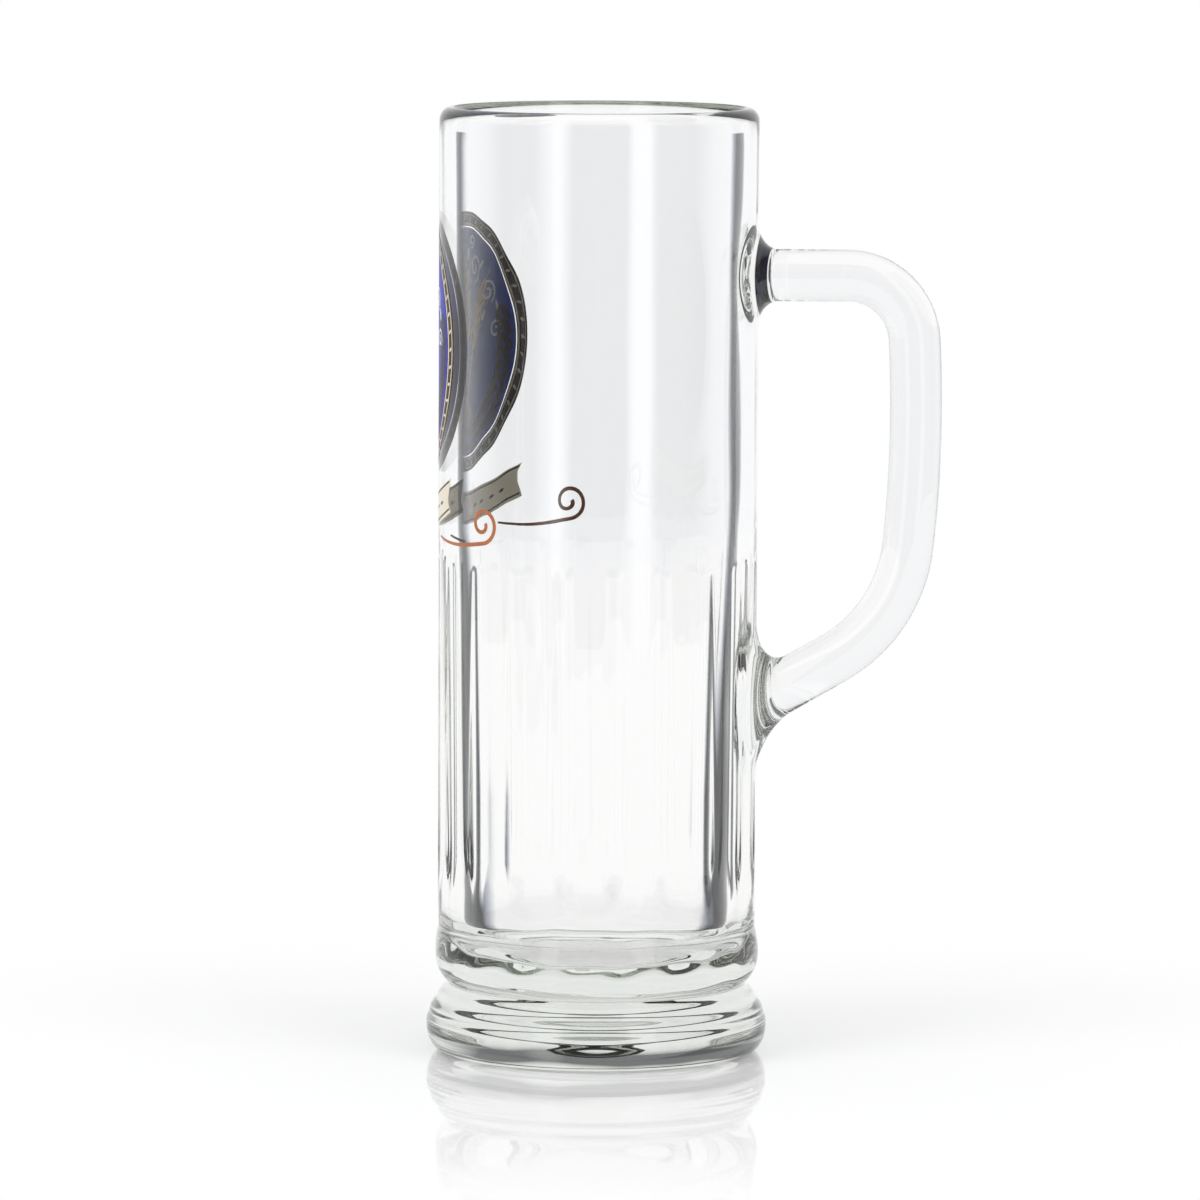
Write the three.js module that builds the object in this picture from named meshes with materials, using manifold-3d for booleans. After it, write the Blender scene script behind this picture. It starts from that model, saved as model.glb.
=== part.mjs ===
import * as THREE from 'three';
import { mergeVertices } from 'three/addons/utils/BufferGeometryUtils.js';
import Module from 'manifold-3d';

const wasm = await Module();
wasm.setup();

// A tall half-litre pressed glass mug, in millimetres, +Z up.
// The origin is on the vessel's axis at the height of the table, and the handle points along +X.

// Vessel: overall sizes
const mugHeight = 211;
const barrelRadius = 35.5;
const rimWall = 3.4;
const shoulderWall = 4.1;
const baseWall = 6;
const rimOuterRound = 2.7;
const rimRoundHeight = 3;
const rimInnerRound = 0.7;
const rimTaperHeight = 14;

// Vessel: fluted lower half
const plainBandHeight = 96.5;
const fluteRadius = 14;
const fluteTopDepth = 0.19;
const fluteFootDepth = 0.6;
const fluteTopDrop = 3.2;
const swellBlend = 5.5;

// Vessel: swell, waist, foot and inside floor
const swellRadius = 36.2;
const swellHeight = 22.6;
const waistRadius = 33.1;
const waistHeight = 15.8;
const footRadius = 38;
const footWidestHeight = 7.4;
const standingRingRadius = 33;
const standingRingWidth = 3.4;
const undersideRecess = 0.8;
const floorHeight = 21.6;
const floorFillet = 10;

// Handle
const handleRadius = 5.75;
const handleReach = 76.3;
const upperArmBelowRim = 37;
const upperBendRadius = 14.9;
const legBowRadius = 292;
const lowerBendRadius = 33.5;
const upperJointArmLength = 4.6;
const upperJointWallLength = 5.4;
const upperJointSideLength = 5;
const lowerJointTopArmLength = 8;
const lowerJointTopWallLength = 11;
const lowerJointBottomArmLength = 9.6;
const lowerJointBottomWallLength = 9.8;
const lowerJointSideLength = 7;

// Fired enamel print
const enamelThickness = 0.25;
const medallionHalfWidth = 26.4;
const medallionBorderWidth = 3.2;
const medallionBelowRim = 24;
const medallionAboveRibbon = 4.5;
const ribbonHalfWidth = 25;
const ribbonBreadth = 7.5;
const ribbonSag = 5;
const ribbonRise = 1.5;
const scrollRise = 1;
const scrollReach = 13;
const scrollLine = 0.9;
const scrollCurlRadius = 4.2;
const sheafSpread = 11;
const stalkBreadth = 0.8;
const earLength = 5.4;
const earBreadth = 2.4;

// Clearance between pieces, and how far a cutting body runs past what it cuts
const gap = 0.3;
const overrun = 5;

// Angles in radians, and counts
const fluteCount = 20;
const legLean = THREE.MathUtils.degToRad(3.1);
const legBow = THREE.MathUtils.degToRad(9);
const lowerArmSlope = THREE.MathUtils.degToRad(30);
const printTurn = THREE.MathUtils.degToRad(166);
const grainLean = THREE.MathUtils.degToRad(28);
const roundSegments = 64;
const outerSteps = 4;
const innerSteps = 3;
const fluteSides = 72;
const fluteCapSteps = 18;
const handleSides = 24;
const jointSteps = 6;
const upperBendSteps = 9;
const legSteps = 3;
const lowerBendSteps = 7;
const ribbonSteps = 8;
const stalkSteps = 6;
const grainSteps = 10;
const earsPerStalk = 4;
const scrollTurns = 1.3;

// How closely an arc-like cubic follows a round corner
const cornerPullShare = 0.55;
// How far the waist's curves lean from level, as a share of their width
const waistLeanShare = 0.33;
// Where the inner wall has its middle thickness, as a share of the height
const innerWallKneeShare = 0.56;
// Sheaf: its height, its side stalks, their bend and the pitch of the grains
const sheafHeightShare = 1.17;
const sideStalkShare = 0.83;
const stalkBendShare = 0.33;
const grainPitchShare = 0.5;
// Depth of the ribbon's end notch over its breadth, and the straight share of a scroll's line
const notchShare = 0.33;
const scrollTailShare = 0.33;

// Geometry to solid and back

function toSolid(geometry) {
  const bare = geometry.clone();
  bare.deleteAttribute('normal');
  bare.deleteAttribute('uv');
  const merged = mergeVertices(bare);
  return new wasm.Manifold(new wasm.Mesh({
    numProp: 3,
    vertProperties: new Float32Array(merged.attributes.position.array),
    triVerts: new Uint32Array(merged.index.array),
  }));
}

function toGeometry(solid) {
  const mesh = solid.getMesh();
  const geometry = new THREE.BufferGeometry();
  geometry.setAttribute('position', new THREE.BufferAttribute(new Float32Array(mesh.vertProperties), 3));
  geometry.setIndex(new THREE.BufferAttribute(new Uint32Array(mesh.triVerts), 1));
  geometry.computeVertexNormals();
  return geometry;
}

// A closed (radius, height) outline turned about +Z
function revolve(points, segments = roundSegments) {
  const geometry = new THREE.LatheGeometry(points, segments);
  geometry.rotateX(Math.PI / 2);
  return toSolid(geometry);
}

// Joins rings of equal length into one closed body with a fan at each end
function loft(rings) {
  const sides = rings[0].length;
  const positions = rings.flat().flatMap((p) => [p.x, p.y, p.z]);
  const index = [];
  for (let k = 0; k + 1 < rings.length; k += 1) {
    for (let i = 0; i < sides; i += 1) {
      const j = (i + 1) % sides;
      const [a, b, c, d] = [k * sides + i, k * sides + j, (k + 1) * sides + i, (k + 1) * sides + j];
      index.push(a, c, b, b, c, d);
    }
  }
  const ends = [[rings[0], 0, true], [rings[rings.length - 1], (rings.length - 1) * sides, false]];
  for (const [ring, first, flip] of ends) {
    const centre = ring.reduce((sum, p) => sum.add(p), new THREE.Vector3()).divideScalar(sides);
    const middle = positions.length / 3;
    positions.push(centre.x, centre.y, centre.z);
    for (let i = 0; i < sides; i += 1) {
      const [a, b] = [first + i, first + ((i + 1) % sides)];
      index.push(...(flip ? [middle, a, b] : [middle, b, a]));
    }
  }
  const geometry = new THREE.BufferGeometry();
  geometry.setAttribute('position', new THREE.Float32BufferAttribute(positions, 3));
  geometry.setIndex(index);
  return toSolid(geometry);
}

// Vessel

const shoulderHeight = mugHeight - plainBandHeight;
const upperArmHeight = mugHeight - upperArmBelowRim;

// Outside of the vessel from the standing ring up to the rim's crest; grow moves it outwards
function outerOutline(grow) {
  const path = new THREE.Path();
  path.moveTo(standingRingRadius, 0);
  path.absellipse(
    standingRingRadius, footWidestHeight,
    footRadius - standingRingRadius, footWidestHeight, -Math.PI / 2, 0,
  );
  path.bezierCurveTo(
    footRadius, (footWidestHeight + waistHeight) / 2,
    (footRadius + waistRadius) / 2, waistHeight - (footRadius - waistRadius) * waistLeanShare,
    waistRadius, waistHeight,
  );
  path.bezierCurveTo(
    (waistRadius + swellRadius) / 2, waistHeight + (swellRadius - waistRadius) * waistLeanShare,
    swellRadius, (waistHeight + swellHeight) / 2,
    swellRadius, swellHeight,
  );
  path.quadraticCurveTo(
    swellRadius, swellHeight + swellBlend / 2,
    barrelRadius, swellHeight + swellBlend,
  );
  path.lineTo(barrelRadius, mugHeight - rimRoundHeight);
  path.absellipse(
    barrelRadius - rimOuterRound, mugHeight - rimRoundHeight,
    rimOuterRound, rimRoundHeight, 0, Math.PI / 2,
  );
  return path.getPoints(outerSteps).map((p) => new THREE.Vector2(p.x + grow, p.y));
}

// Inside of the vessel from the rim's crest down to the middle of the floor
function innerOutline() {
  const rimInside = barrelRadius - rimWall;
  const shoulderInside = barrelRadius - shoulderWall;
  const baseInside = barrelRadius - baseWall;
  const path = new THREE.Path();
  path.moveTo(rimInside + rimInnerRound, mugHeight);
  path.absellipse(
    rimInside + rimInnerRound, mugHeight - rimInnerRound,
    rimInnerRound, rimInnerRound, Math.PI / 2, Math.PI,
  );
  path.quadraticCurveTo(
    shoulderInside, mugHeight - rimTaperHeight,
    shoulderInside, mugHeight * innerWallKneeShare,
  );
  path.lineTo(baseInside, floorHeight + floorFillet);
  path.absellipse(
    baseInside - floorFillet, floorHeight + floorFillet,
    floorFillet, floorFillet, 0, -Math.PI / 2, true,
  );
  path.lineTo(0, floorHeight);
  return path.getPoints(innerSteps);
}

// Flat standing ring with a shallow recess inside it
function undersideOutline() {
  const inner = standingRingRadius - standingRingWidth;
  return [
    new THREE.Vector2(0, undersideRecess),
    new THREE.Vector2(inner - undersideRecess, undersideRecess),
    new THREE.Vector2(inner, 0),
  ];
}

// Shallow upright flutes that deepen downwards and run out through the swell; the handle faces a bar
function flutes() {
  const topHalfWidth = Math.sqrt(2 * fluteRadius * fluteTopDepth);
  const top = shoulderHeight - fluteTopDrop - topHalfWidth;
  const foot = (waistHeight + swellHeight) / 2;
  const lean = Math.atan((fluteFootDepth - fluteTopDepth) / (top - foot));
  const tools = [];
  for (let i = 0; i < fluteCount; i += 1) {
    const tool = new THREE.CapsuleGeometry(fluteRadius, top - foot, fluteCapSteps, fluteSides);
    tool.rotateX(Math.PI / 2);
    tool.rotateY(lean);
    tool.translate(
      barrelRadius + fluteRadius - (fluteTopDepth + fluteFootDepth) / 2,
      0,
      (top + foot) / 2,
    );
    tool.rotateZ(((2 * i + 1) / fluteCount) * Math.PI);
    tools.push(toSolid(tool));
  }
  return joined(tools);
}

function makeVessel() {
  const outline = [...undersideOutline(), ...outerOutline(0), ...innerOutline()];
  return revolve(outline).subtract(flutes());
}

// The vessel's outside grown by the gap, closed at the top, which cuts the pieces that sit on it
function vesselEnvelope() {
  const outline = [
    new THREE.Vector2(0, 0),
    ...outerOutline(gap),
    new THREE.Vector2(0, mugHeight),
  ];
  return revolve(outline);
}

// Handle

// Centre line of the rod in the XZ plane: upper arm, bend, bowed leg, lower bend and lower arm
function handleLine() {
  const upperTurn = Math.PI / 2 - legLean;
  const lowerTurn = Math.PI / 2 - lowerArmSlope + legLean - legBow;
  const straightEnd = handleReach - handleRadius
    - upperBendRadius * Math.sin(upperTurn)
    - legBowRadius * (1 - Math.sin(upperTurn));
  const bends = [
    { radius: upperBendRadius, turn: upperTurn, steps: upperBendSteps },
    { radius: legBowRadius, turn: legBow, steps: legSteps },
    { radius: lowerBendRadius, turn: lowerTurn, steps: lowerBendSteps },
  ];
  const line = [{ x: straightEnd, z: upperArmHeight, heading: 0 }];
  for (const { radius, turn, steps } of bends) {
    for (let k = 0; k < steps; k += 1) {
      const { x, z, heading } = line[line.length - 1];
      const chord = 2 * radius * Math.sin(turn / steps / 2);
      const along = heading - turn / steps / 2;
      line.push({
        x: x + chord * Math.cos(along),
        z: z + chord * Math.sin(along),
        heading: heading - turn / steps,
      });
    }
  }
  return line;
}

function ringAt({ x, z, heading }) {
  const ring = [];
  for (let i = 0; i < handleSides; i += 1) {
    const turn = (i / handleSides) * 2 * Math.PI;
    const up = handleRadius * Math.cos(turn);
    ring.push(new THREE.Vector3(
      x - up * Math.sin(heading),
      handleRadius * Math.sin(turn),
      z + up * Math.cos(heading),
    ));
  }
  return ring;
}

// Where a line from a point along a direction enters the barrel's cylinder
function meetBarrel(point, along) {
  const a = along.x ** 2 + along.y ** 2;
  const b = point.x * along.x + point.y * along.y;
  const c = point.x ** 2 + point.y ** 2 - barrelRadius ** 2;
  return point.clone().addScaledVector(along, (-b - Math.sqrt(b * b - a * c)) / a);
}

// Rings that flare from the rod's end ring onto the wall; lengths give the flare above, below and beside
function jointRings(ring, centre, along, lengths) {
  const rings = Array.from({ length: jointSteps + 2 }, () => []);
  for (const point of ring) {
    const corner = meetBarrel(point, along);
    const outward = point.clone().sub(centre).divideScalar(handleRadius);
    const radial = new THREE.Vector3(corner.x, corner.y, 0).normalize();
    const wallward = outward.clone().addScaledVector(radial, -outward.dot(radial)).normalize();
    const rise = Math.abs(outward.y) < 1 ? wallward.z : 0;
    const above = Math.max(rise, 0) ** 2;
    const below = Math.max(-rise, 0) ** 2;
    const beside = 1 - above - below;
    const armLength = lengths.top[0] * above + lengths.bottom[0] * below + lengths.side * beside;
    const wallLength = lengths.top[1] * above + lengths.bottom[1] * below + lengths.side * beside;
    const start = corner.clone().addScaledVector(along, -armLength);
    const end = corner.clone().addScaledVector(wallward, wallLength);
    const shrink = barrelRadius / Math.hypot(end.x, end.y);
    end.set(end.x * shrink, end.y * shrink, end.z);
    const flare = new THREE.CubicBezierCurve3(
      start,
      start.clone().lerp(corner, cornerPullShare),
      end.clone().lerp(corner, cornerPullShare),
      end,
    );
    for (let k = 0; k <= jointSteps; k += 1) {
      rings[k].push(flare.getPoint(k / jointSteps));
    }
    rings[jointSteps + 1].push(end.clone().addScaledVector(radial, -gap));
  }
  return rings;
}

function makeHandle() {
  const line = handleLine();
  const first = line[0];
  const last = line[line.length - 1];
  const upper = jointRings(
    ringAt(first),
    new THREE.Vector3(first.x, 0, first.z),
    new THREE.Vector3(-1, 0, 0),
    {
      top: [upperJointArmLength, upperJointWallLength],
      bottom: [upperJointArmLength, upperJointWallLength],
      side: upperJointSideLength,
    },
  );
  const lower = jointRings(
    ringAt(last),
    new THREE.Vector3(last.x, 0, last.z),
    new THREE.Vector3(Math.cos(last.heading), 0, Math.sin(last.heading)),
    {
      top: [lowerJointTopArmLength, lowerJointTopWallLength],
      bottom: [lowerJointBottomArmLength, lowerJointBottomWallLength],
      side: lowerJointSideLength,
    },
  );
  const rod = [...upper.reverse(), ...line.map(ringAt), ...lower];
  return loft(rod).subtract(vesselEnvelope());
}

// Fired enamel print, on the side away from the handle

const printBase = shoulderHeight + scrollRise;
const medallionTop = mugHeight - medallionBelowRim;
const medallionBottom = printBase + ribbonRise + ribbonBreadth + medallionAboveRibbon;
const medallionCentre = (medallionTop + medallionBottom) / 2;
const medallionHalfHeight = (medallionTop - medallionBottom) / 2;
const sheafHeight = medallionHalfHeight * sheafHeightShare;

// A flat drawing in arc length and height becomes the shape that, pushed straight at the wall, fits it
function wrapPoints(points) {
  return points.map(([u, v]) => new THREE.Vector2(barrelRadius * Math.sin(u / barrelRadius), v));
}

// The part of the enamel film inside an outline
function enamelPatch(points) {
  const depth = barrelRadius + overrun;
  const prism = new THREE.ExtrudeGeometry(new THREE.Shape(wrapPoints(points)), {
    depth, bevelEnabled: false, curveSegments: 1,
  });
  prism.applyMatrix4(new THREE.Matrix4().makeBasis(
    new THREE.Vector3(0, 1, 0), new THREE.Vector3(0, 0, 1), new THREE.Vector3(1, 0, 0),
  ));
  return toSolid(prism);
}

function enamelFilm() {
  const inner = barrelRadius + gap;
  const outer = inner + enamelThickness;
  return revolve([
    new THREE.Vector2(inner, shoulderHeight),
    new THREE.Vector2(outer, shoulderHeight),
    new THREE.Vector2(outer, mugHeight),
    new THREE.Vector2(inner, mugHeight),
    new THREE.Vector2(inner, shoulderHeight),
  ]);
}

function oval(halfWidth, halfHeight, steps = roundSegments / 2) {
  return Array.from({ length: steps }, (_, i) => {
    const turn = (i / steps) * 2 * Math.PI;
    return [halfWidth * Math.cos(turn), medallionCentre + halfHeight * Math.sin(turn)];
  });
}

// A sagging ribbon whose ends are notched
function ribbonOutline(grow) {
  const half = ribbonHalfWidth + grow;
  const rise = (u) => printBase + ribbonRise + ribbonSag * (u / ribbonHalfWidth) ** 2;
  const lower = [];
  const upper = [];
  for (let i = 0; i <= ribbonSteps; i += 1) {
    const u = half * ((2 * i) / ribbonSteps - 1);
    lower.push([u, rise(u) - grow]);
    upper.unshift([u, rise(u) + ribbonBreadth + grow]);
  }
  const notch = ribbonBreadth * notchShare;
  const middle = rise(half) + ribbonBreadth / 2;
  return [...lower, [half - notch, middle], ...upper, [notch - half, middle]];
}

// A line of even breadth along a curve, as an outline
function stroke(curve, breadth, steps) {
  const left = [];
  const right = [];
  for (let k = 0; k <= steps; k += 1) {
    const point = curve.getPoint(k / steps);
    const along = curve.getTangent(k / steps);
    left.push([point.x - (along.y * breadth) / 2, point.y + (along.x * breadth) / 2]);
    right.unshift([point.x + (along.y * breadth) / 2, point.y - (along.x * breadth) / 2]);
  }
  return [...left, ...right].reverse();
}

class Curl extends THREE.Curve {
  constructor(side) {
    super();
    this.side = side;
  }

  // A tail that runs outwards from the ribbon and winds up in a shrinking curl
  getPoint(t, target = new THREE.Vector2()) {
    const start = ribbonHalfWidth - ribbonBreadth;
    const hub = ribbonHalfWidth + scrollReach;
    const level = printBase + ribbonRise - scrollLine;
    if (t < scrollTailShare) {
      const run = t / scrollTailShare;
      return target.set(
        this.side * THREE.MathUtils.lerp(start, hub, run),
        level - scrollLine * Math.sin(run * Math.PI),
      );
    }
    const wind = (t - scrollTailShare) / (1 - scrollTailShare);
    const turn = wind * scrollTurns * 2 * Math.PI - Math.PI / 2;
    const radius = scrollCurlRadius * (1 - wind) + scrollLine * wind;
    return target.set(
      this.side * (hub + radius * Math.cos(turn)),
      level + scrollCurlRadius + radius * Math.sin(turn),
    );
  }
}

function scroll(side) {
  const points = stroke(new Curl(side), scrollLine, roundSegments / 2);
  return enamelPatch(side < 0 ? points.reverse() : points);
}

// Three barley stalks that fan out from one foot, each with pairs of grains towards its tip
function sheafPatches(grow) {
  const foot = medallionCentre - sheafHeight / 2;
  const patches = [];
  for (let i = -1; i <= 1; i += 1) {
    const reach = sheafHeight * (i === 0 ? 1 : sideStalkShare);
    const tip = new THREE.Vector2(i * sheafSpread, foot + reach);
    const stalk = new THREE.QuadraticBezierCurve(
      new THREE.Vector2(0, foot),
      new THREE.Vector2(i * sheafSpread * stalkBendShare, foot + sheafHeight / 2),
      tip,
    );
    patches.push(enamelPatch(stroke(stalk, stalkBreadth + 2 * grow, stalkSteps)));
    for (let k = 0; k < earsPerStalk; k += 1) {
      const t = 1 - (k * earLength * grainPitchShare) / sheafHeight;
      const at = stalk.getPoint(t);
      const along = stalk.getTangent(t);
      for (const side of k === 0 ? [0] : [-1, 1]) {
        patches.push(enamelPatch(grain(at, Math.atan2(along.y, along.x) + side * grainLean, side, grow)));
      }
    }
  }
  return patches;
}

// One grain: a pointed oval leaning out from the stalk
function grain(at, lean, side, grow) {
  const centre = [
    at.x - (side * Math.sin(lean) * earBreadth) / 2,
    at.y + (side * Math.cos(lean) * earBreadth) / 2,
  ];
  return Array.from({ length: grainSteps }, (_, i) => {
    const turn = (i / grainSteps) * 2 * Math.PI;
    const along = (earLength / 2 + grow) * Math.cos(turn);
    const across = (earBreadth / 2 + grow) * Math.sin(turn);
    return [
      centre[0] + along * Math.cos(lean) - across * Math.sin(lean),
      centre[1] + along * Math.sin(lean) + across * Math.cos(lean),
    ];
  });
}

function joined(solids) {
  return solids.reduce((all, solid) => all.add(solid));
}

function makePrint() {
  const film = enamelFilm();
  const inside = medallionBorderWidth;
  const ribbonHole = enamelPatch(ribbonOutline(gap));
  const outer = enamelPatch(oval(medallionHalfWidth, medallionHalfHeight));
  const hole = enamelPatch(oval(medallionHalfWidth - inside, medallionHalfHeight - inside));
  const field = enamelPatch(oval(
    medallionHalfWidth - inside - gap,
    medallionHalfHeight - inside - gap,
  ));
  return {
    print_border: outer.subtract(hole).subtract(ribbonHole).intersect(film),
    print_field: field.subtract(ribbonHole).subtract(joined(sheafPatches(gap))).intersect(film),
    print_sheaf: joined(sheafPatches(0)).intersect(film),
    print_ribbon: enamelPatch(ribbonOutline(0)).intersect(film),
    print_scroll_near: scroll(1).subtract(ribbonHole).intersect(film),
    print_scroll_far: scroll(-1).subtract(ribbonHole).intersect(film),
  };
}

// The assembly

const glass = { color: 0xe9eeee, roughness: 0.05, metalness: 0 };
const finishes = {
  vessel: glass,
  handle: glass,
  print_border: { color: 0x3a2621, roughness: 0.35, metalness: 0 },
  print_field: { color: 0x2440a8, roughness: 0.3, metalness: 0 },
  print_sheaf: { color: 0xd9b36a, roughness: 0.35, metalness: 0 },
  print_ribbon: { color: 0xe6dcc2, roughness: 0.35, metalness: 0 },
  print_scroll_near: { color: 0xb5714a, roughness: 0.35, metalness: 0 },
  print_scroll_far: { color: 0xb5714a, roughness: 0.35, metalness: 0 },
};

const group = new THREE.Group();

function place(name, solid, turn = 0) {
  const mesh = new THREE.Mesh(toGeometry(solid), new THREE.MeshStandardMaterial(finishes[name]));
  mesh.name = name;
  mesh.rotation.z = turn;
  group.add(mesh);
}

place('vessel', makeVessel());
place('handle', makeHandle());
for (const [name, solid] of Object.entries(makePrint())) {
  place(name, solid, printTurn);
}

export default group;
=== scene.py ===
import math

import bmesh
import bpy
from mathutils import Matrix, Vector


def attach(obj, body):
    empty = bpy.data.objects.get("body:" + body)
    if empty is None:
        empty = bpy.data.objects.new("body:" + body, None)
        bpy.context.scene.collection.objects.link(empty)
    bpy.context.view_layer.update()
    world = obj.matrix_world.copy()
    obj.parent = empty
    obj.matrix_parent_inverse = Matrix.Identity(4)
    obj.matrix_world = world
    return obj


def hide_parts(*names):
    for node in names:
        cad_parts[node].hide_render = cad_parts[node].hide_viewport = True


bl_info = {
    "name": "Fluted Glass Beer Mug",
    "version": (1, 0, 0),
    "blender": (4, 5, 0),
    "location": "3D View > Sidebar > Beer Mug",
    "description": "Makes a tall pressed glass mug with a fired enamel print, and a pale studio round it",
    "category": "Add Mesh",
}

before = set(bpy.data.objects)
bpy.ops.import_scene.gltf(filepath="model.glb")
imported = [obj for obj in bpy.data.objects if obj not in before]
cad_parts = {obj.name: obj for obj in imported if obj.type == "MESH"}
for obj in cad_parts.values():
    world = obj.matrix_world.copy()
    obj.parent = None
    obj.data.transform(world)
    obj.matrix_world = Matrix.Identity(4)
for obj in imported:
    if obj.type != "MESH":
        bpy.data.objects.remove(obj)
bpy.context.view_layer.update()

MM = 0.001
TINY = 0.001 * MM


# Sizes and colours that a user would change


def length(name, description, millimetres):
    return bpy.props.FloatProperty(
        name=name,
        description=description,
        default=millimetres * MM,
        min=0.0,
        precision=5,
        unit="LENGTH",
    )


def angle(name, description, degrees):
    return bpy.props.FloatProperty(
        name=name,
        description=description,
        default=math.radians(degrees),
        subtype="ANGLE",
    )


def colour(name, description, red, green, blue):
    return bpy.props.FloatVectorProperty(
        name=name,
        description=description,
        default=(red, green, blue),
        min=0.0,
        max=1.0,
        size=3,
        subtype="COLOR",
    )


class MugGlassSizes(bpy.types.PropertyGroup):
    """Sizes of the vessel and its handle"""

    mug_height: length("Mug Height", "From the table to the crest of the rim", 211)
    barrel_radius: length("Barrel Radius", "Outside radius of the barrel and of the flutes' bars", 35.5)
    rim_wall: length("Rim Wall", "Wall just below the rim", 3.4)
    shoulder_wall: length("Shoulder Wall", "Wall at the top of the flutes", 4.1)
    base_wall: length("Base Wall", "Wall just above the floor", 6.0)
    rim_outer_round: length("Rim Outer Round", "Width of the round outside the rim's crest", 2.7)
    rim_round_height: length("Rim Round Height", "Height of the round outside the rim's crest", 3.0)
    rim_inner_round: length("Rim Inner Round", "Radius of the round inside the rim's crest", 0.7)
    rim_taper_height: length("Rim Taper Height", "How far the wall thins below the rim", 14)
    plain_band_height: length("Plain Band Height", "From the rim down to the shoulder", 96.5)
    flute_radius: length("Flute Radius", "Hollow radius of the flutes", 10)
    flute_top_depth: length("Flute Top Depth", "Depth of the flutes at their round tops", 0.26)
    flute_foot_depth: length("Flute Foot Depth", "Depth of the flutes where they start to run out", 0.6)
    flute_top_drop: length("Flute Top Drop", "From the shoulder down to the flutes' round tops", 3.2)
    flute_run_out: length("Flute Run Out", "How far a flute's hollow moves outwards down to the swell", 1.1)
    flute_crease: length("Flute Crease", "Softness of the crease along each flute", 0.12)
    swell_blend: length("Swell Blend", "Height of the swell's run-out into the barrel", 5.5)
    swell_radius: length("Swell Radius", "Radius of the swell at the flutes' feet", 36.2)
    swell_height: length("Swell Height", "Height of the swell's widest place", 22.6)
    waist_radius: length("Waist Radius", "Radius of the groove above the foot", 33.1)
    waist_height: length("Waist Height", "Height of the groove above the foot", 15.8)
    foot_radius: length("Foot Radius", "Radius of the foot's widest place", 38)
    foot_widest_height: length("Foot Widest Height", "Height of the foot's widest place", 7.4)
    standing_ring_radius: length("Standing Ring Radius", "Outside radius of the ring it stands on", 33)
    standing_ring_width: length("Standing Ring Width", "Width of the ring it stands on", 3.4)
    underside_recess: length("Underside Recess", "How far the underside lies above the table", 0.8)
    floor_height: length("Floor Height", "Height of the floor inside", 21.6)
    floor_fillet: length("Floor Fillet", "Radius of the round at the floor's edge", 10)
    handle_radius: length("Handle Radius", "Radius of the handle's rod", 5.75)
    handle_reach: length("Handle Reach", "From the axis to the outside of the handle", 76.3)
    upper_arm_below_rim: length("Upper Arm Below Rim", "From the rim to the upper arm's middle", 37)
    upper_bend_radius: length("Upper Bend Radius", "Bend at the top of the handle", 14.9)
    leg_bow_radius: length("Leg Bow Radius", "Slow bow of the upright leg", 292)
    lower_bend_radius: length("Lower Bend Radius", "Bend at the bottom of the handle", 33.5)
    joint_bulge: length("Joint Bulge", "How far the inner wall swells behind each joint", 1.1)
    foot_ridge: length("Foot Ridge", "Height of the soft rings pressed into the top of the foot", 0.14)
    swell_wave: length("Swell Wave", "Unevenness of the fire-polished swell", 0.16)
    ripple: length("Ripple", "Height of the slow ripples in the hand-finished inner wall", 0.05)
    floor_ripple: length("Floor Ripple", "Height of the ripples in the floor inside", 0.22)


class MugPrintSizes(bpy.types.PropertyGroup):
    """Sizes of the fired enamel print"""

    film: length("Film", "How far the enamel reaches to each side of the glass surface", 0.04)
    layer: length("Layer", "How far each later colour reaches beyond the one before", 0.02)
    turn: angle("Turn", "Where the print's middle is, round from the handle", 166)
    half_width: length("Medallion Half Width", "Half the width of the oval", 26.4)
    below_rim: length("Medallion Below Rim", "From the rim down to the oval", 24)
    above_ribbon: length("Medallion Above Ribbon", "From the ribbon's middle up to the oval", 4.5)
    border: length("Border Width", "Width of the oval's border", 3.2)
    base_above_shoulder: length("Print Base", "From the shoulder up to the print", 1)
    ribbon_half_width: length("Ribbon Half Width", "Half the ribbon's length", 25)
    ribbon_breadth: length("Ribbon Breadth", "Breadth of the ribbon", 7.5)
    ribbon_sag: length("Ribbon Sag", "How far the ribbon's middle hangs", 5)
    ribbon_rise: length("Ribbon Rise", "From the print's base up to the ribbon", 1.5)
    scroll_reach: length("Scroll Reach", "How far the scrolls' middles lie past the ribbon", 13)
    scroll_line: length("Scroll Line", "Breadth of a scroll's line", 0.9)
    scroll_curl: length("Scroll Curl", "Radius of a scroll's outer turn", 4.2)
    sheaf_spread: length("Sheaf Spread", "How far the side stalks lean out", 11)
    stalk: length("Stalk Breadth", "Breadth of a barley stalk", 0.8)
    grain_length: length("Grain Length", "Length of a barley grain", 5.4)
    grain_breadth: length("Grain Breadth", "Breadth of a barley grain", 2.4)


class MugColours(bpy.types.PropertyGroup):
    """Colours of the glass and of the enamels"""

    glass: colour("Glass", "What a metre of the glass lets through", 0.66, 0.70, 0.62)
    brown: colour("Border Brown", "Dark brown enamel", 0.045, 0.022, 0.016)
    blue: colour("Field Blue", "Royal blue enamel seen from outside", 0.014, 0.024, 0.42)
    blue_back: colour("Field Blue Through Glass", "The same enamel seen through the mug", 0.035, 0.065, 0.30)
    gold: colour("Sheaf Gold", "Gold enamel", 0.70, 0.46, 0.14)
    cream: colour("Ribbon Cream", "Cream enamel", 0.78, 0.70, 0.53)
    white: colour("Scroll White", "White enamel", 0.86, 0.86, 0.82)
    copper: colour("Scroll Copper", "Copper enamel", 0.46, 0.17, 0.075)
    red: colour("Tie Red", "Red enamel", 0.45, 0.03, 0.022)


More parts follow.
